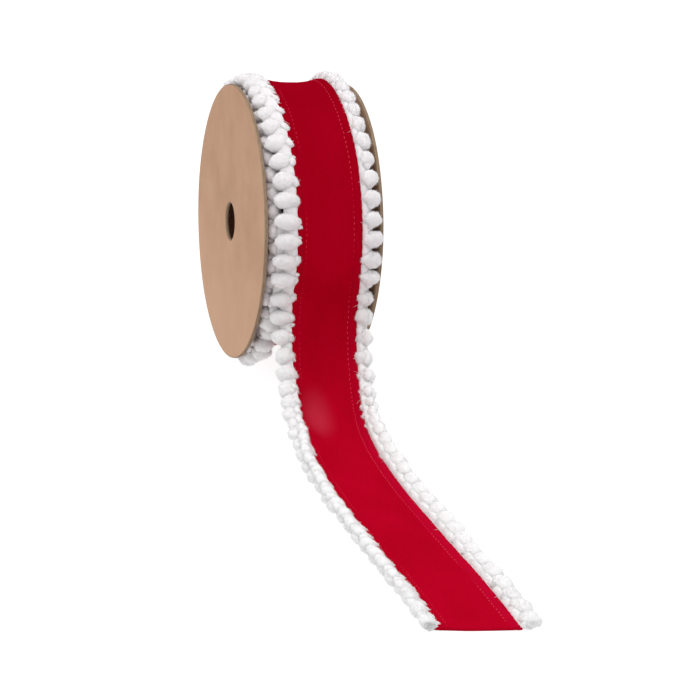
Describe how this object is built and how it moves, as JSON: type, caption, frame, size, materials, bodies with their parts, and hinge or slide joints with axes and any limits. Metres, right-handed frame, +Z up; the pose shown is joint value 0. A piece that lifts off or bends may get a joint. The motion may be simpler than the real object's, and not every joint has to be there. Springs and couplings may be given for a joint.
{
  "type": "roll of pompom trim",
  "caption": "Card spool of red velvet ribbon with white pompom trim sewn to both edges, its loose end run out along the table.",
  "frame": {"origin": "centre of the object's footprint, on the surface that the spool and the loose end rest on", "axes": "+Z up; +X along the spool's axle line; the loose end runs forward along -Y, so Y is the longest extent"},
  "size_m": [0.0688, 0.4595, 0.1665],
  "materials": {
    "kraft_card": "matte brown kraft card with fine fibres",
    "red_velvet": "short dense velvet pile, folded hems stitched along both edges",
    "white_yarn": "soft fluffy yarn pompoms on a narrow woven tape"
  },
  "bodies": {
    "root": {"flange_left": "kraft_card", "flange_right": "kraft_card", "core_tube": "kraft_card", "ribbon_roll": "red_velvet", "pompoms_wound_left": "white_yarn", "pompoms_wound_right": "white_yarn", "ribbon_tail": "red_velvet", "pompoms_tail_left": "white_yarn", "pompoms_tail_right": "white_yarn"}
  },
  "joints": []
}
